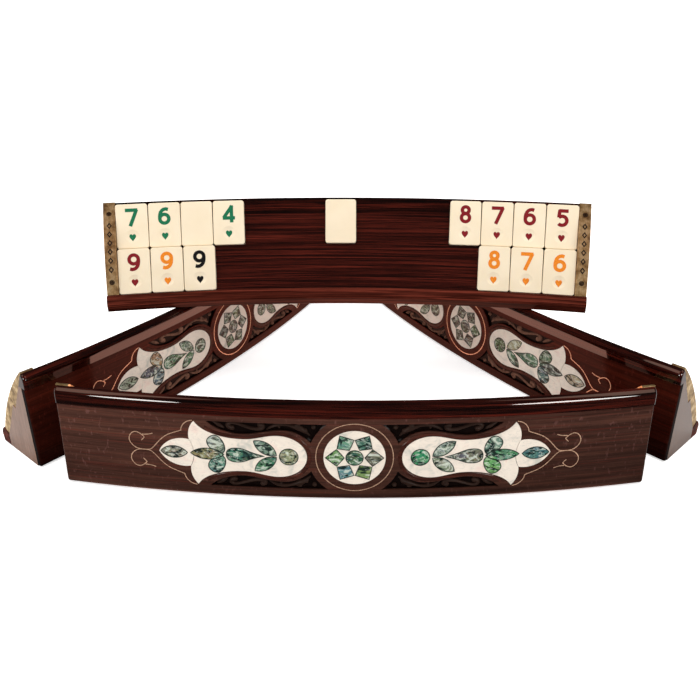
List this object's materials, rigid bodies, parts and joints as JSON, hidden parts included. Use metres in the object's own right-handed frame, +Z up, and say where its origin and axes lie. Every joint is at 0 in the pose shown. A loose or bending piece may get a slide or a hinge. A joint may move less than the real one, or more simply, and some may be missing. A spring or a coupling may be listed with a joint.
{
  "type": "rummy tile rack set",
  "caption": "Curved wooden tile racks with marquetry backs, brass end stops and stepped seats, some loaded with numbered tiles.",
  "frame": {"origin": "middle of the set's footprint, on the table", "axes": "+X to the right along the front rack, +Y away from the front rack towards the far one, +Z up"},
  "size_m": [0.5586, 0.4208, 0.1598],
  "materials": {
    "dark_wood": "gloss lacquer",
    "panel_wood": "satin lacquer",
    "carving_wood": "satin",
    "brass": "brushed",
    "steel": "dark",
    "pearl": "pearlescent",
    "abalone": "iridescent",
    "copper_wire": "polished",
    "tile": "gloss"
  },
  "bodies": {
    "front_rack": {"front_rack_core": "dark_wood", "front_rack_end_cheeks": "dark_wood", "front_rack_back_panel": "panel_wood", "front_rack_top_rail": "dark_wood", "front_rack_ledge": "dark_wood", "front_rack_end_stops": "brass", "front_rack_stop_screws": "steel", "front_rack_pearl_inlay": "pearl", "front_rack_abalone_inlay": "abalone", "front_rack_wire_inlay": "copper_wire", "front_rack_scroll_carving": "carving_wood"},
    "left_rack": {"left_rack_core": "dark_wood", "left_rack_end_cheeks": "dark_wood", "left_rack_back_panel": "panel_wood", "left_rack_top_rail": "dark_wood", "left_rack_ledge": "dark_wood", "left_rack_end_stops": "brass", "left_rack_stop_screws": "steel", "left_rack_pearl_inlay": "pearl", "left_rack_abalone_inlay": "abalone", "left_rack_wire_inlay": "copper_wire", "left_rack_scroll_carving": "carving_wood"},
    "right_rack": {"right_rack_core": "dark_wood", "right_rack_end_cheeks": "dark_wood", "right_rack_back_panel": "panel_wood", "right_rack_top_rail": "dark_wood", "right_rack_ledge": "dark_wood", "right_rack_end_stops": "brass", "right_rack_stop_screws": "steel", "right_rack_pearl_inlay": "pearl", "right_rack_abalone_inlay": "abalone", "right_rack_wire_inlay": "copper_wire", "right_rack_scroll_carving": "carving_wood"},
    "far_rack": {"far_rack_core": "dark_wood", "far_rack_end_cheeks": "dark_wood", "far_rack_back_panel": "panel_wood", "far_rack_top_rail": "dark_wood", "far_rack_ledge": "dark_wood", "far_rack_end_stops": "brass", "far_rack_stop_screws": "steel", "far_rack_pearl_inlay": "pearl", "far_rack_abalone_inlay": "abalone", "far_rack_wire_inlay": "copper_wire", "far_rack_scroll_carving": "carving_wood"},
    "tile_green_7": {"tile_green_7": "tile"},
    "tile_green_6": {"tile_green_6": "tile"},
    "tile_blank_left": {"tile_blank_left": "tile"},
    "tile_green_4": {"tile_green_4": "tile"},
    "tile_red_9": {"tile_red_9": "tile"},
    "tile_orange_9": {"tile_orange_9": "tile"},
    "tile_black_9": {"tile_black_9": "tile"},
    "tile_red_5": {"tile_red_5": "tile"},
    "tile_red_6": {"tile_red_6": "tile"},
    "tile_red_7": {"tile_red_7": "tile"},
    "tile_red_8": {"tile_red_8": "tile"},
    "tile_orange_6": {"tile_orange_6": "tile"},
    "tile_orange_7": {"tile_orange_7": "tile"},
    "tile_orange_8": {"tile_orange_8": "tile"},
    "tile_blank_middle": {"tile_blank_middle": "tile"}
  },
  "joints": [
    {"name": "left_rack_slide", "type": "slide", "parent": "front_rack", "child": "left_rack", "axis": [-0.866, 0.5, 0], "range_m": [0, 0.08]},
    {"name": "right_rack_slide", "type": "slide", "parent": "front_rack", "child": "right_rack", "axis": [0.832, 0.5548, 0], "range_m": [0, 0.08]},
    {"name": "far_rack_lift", "type": "slide", "parent": "front_rack", "child": "far_rack", "axis": [0, 0, 1], "range_m": [0, 0.12]},
    {"name": "tile_lift_green_7", "type": "slide", "parent": "far_rack", "child": "tile_green_7", "axis": [0.1454, -0.8709, 0.4695], "range_m": [0, 0.06]},
    {"name": "tile_lift_green_6", "type": "slide", "parent": "far_rack", "child": "tile_green_6", "axis": [0.1454, -0.8709, 0.4695], "range_m": [0, 0.06]},
    {"name": "tile_lift_blank_left", "type": "slide", "parent": "far_rack", "child": "tile_blank_left", "axis": [0.1454, -0.8709, 0.4695], "range_m": [0, 0.06]},
    {"name": "tile_lift_green_4", "type": "slide", "parent": "far_rack", "child": "tile_green_4", "axis": [0.1454, -0.8709, 0.4695], "range_m": [0, 0.06]},
    {"name": "tile_lift_red_9", "type": "slide", "parent": "far_rack", "child": "tile_red_9", "axis": [0.1454, -0.8709, 0.4695], "range_m": [0, 0.06]},
    {"name": "tile_lift_orange_9", "type": "slide", "parent": "far_rack", "child": "tile_orange_9", "axis": [0.1454, -0.8709, 0.4695], "range_m": [0, 0.06]},
    {"name": "tile_lift_black_9", "type": "slide", "parent": "far_rack", "child": "tile_black_9", "axis": [0.1454, -0.8709, 0.4695], "range_m": [0, 0.06]},
    {"name": "tile_lift_red_5", "type": "slide", "parent": "far_rack", "child": "tile_red_5", "axis": [-0.1454, -0.8709, 0.4695], "range_m": [0, 0.06]},
    {"name": "tile_lift_red_6", "type": "slide", "parent": "far_rack", "child": "tile_red_6", "axis": [-0.1454, -0.8709, 0.4695], "range_m": [0, 0.06]},
    {"name": "tile_lift_red_7", "type": "slide", "parent": "far_rack", "child": "tile_red_7", "axis": [-0.1454, -0.8709, 0.4695], "range_m": [0, 0.06]},
    {"name": "tile_lift_red_8", "type": "slide", "parent": "far_rack", "child": "tile_red_8", "axis": [-0.1454, -0.8709, 0.4695], "range_m": [0, 0.06]},
    {"name": "tile_lift_orange_6", "type": "slide", "parent": "far_rack", "child": "tile_orange_6", "axis": [-0.1454, -0.8709, 0.4695], "range_m": [0, 0.06]},
    {"name": "tile_lift_orange_7", "type": "slide", "parent": "far_rack", "child": "tile_orange_7", "axis": [-0.1454, -0.8709, 0.4695], "range_m": [0, 0.06]},
    {"name": "tile_lift_orange_8", "type": "slide", "parent": "far_rack", "child": "tile_orange_8", "axis": [-0.1454, -0.8709, 0.4695], "range_m": [0, 0.06]},
    {"name": "tile_lift_blank_middle", "type": "slide", "parent": "far_rack", "child": "tile_blank_middle", "axis": [0.0043, -0.8829, 0.4695], "range_m": [0, 0.06]}
  ]
}
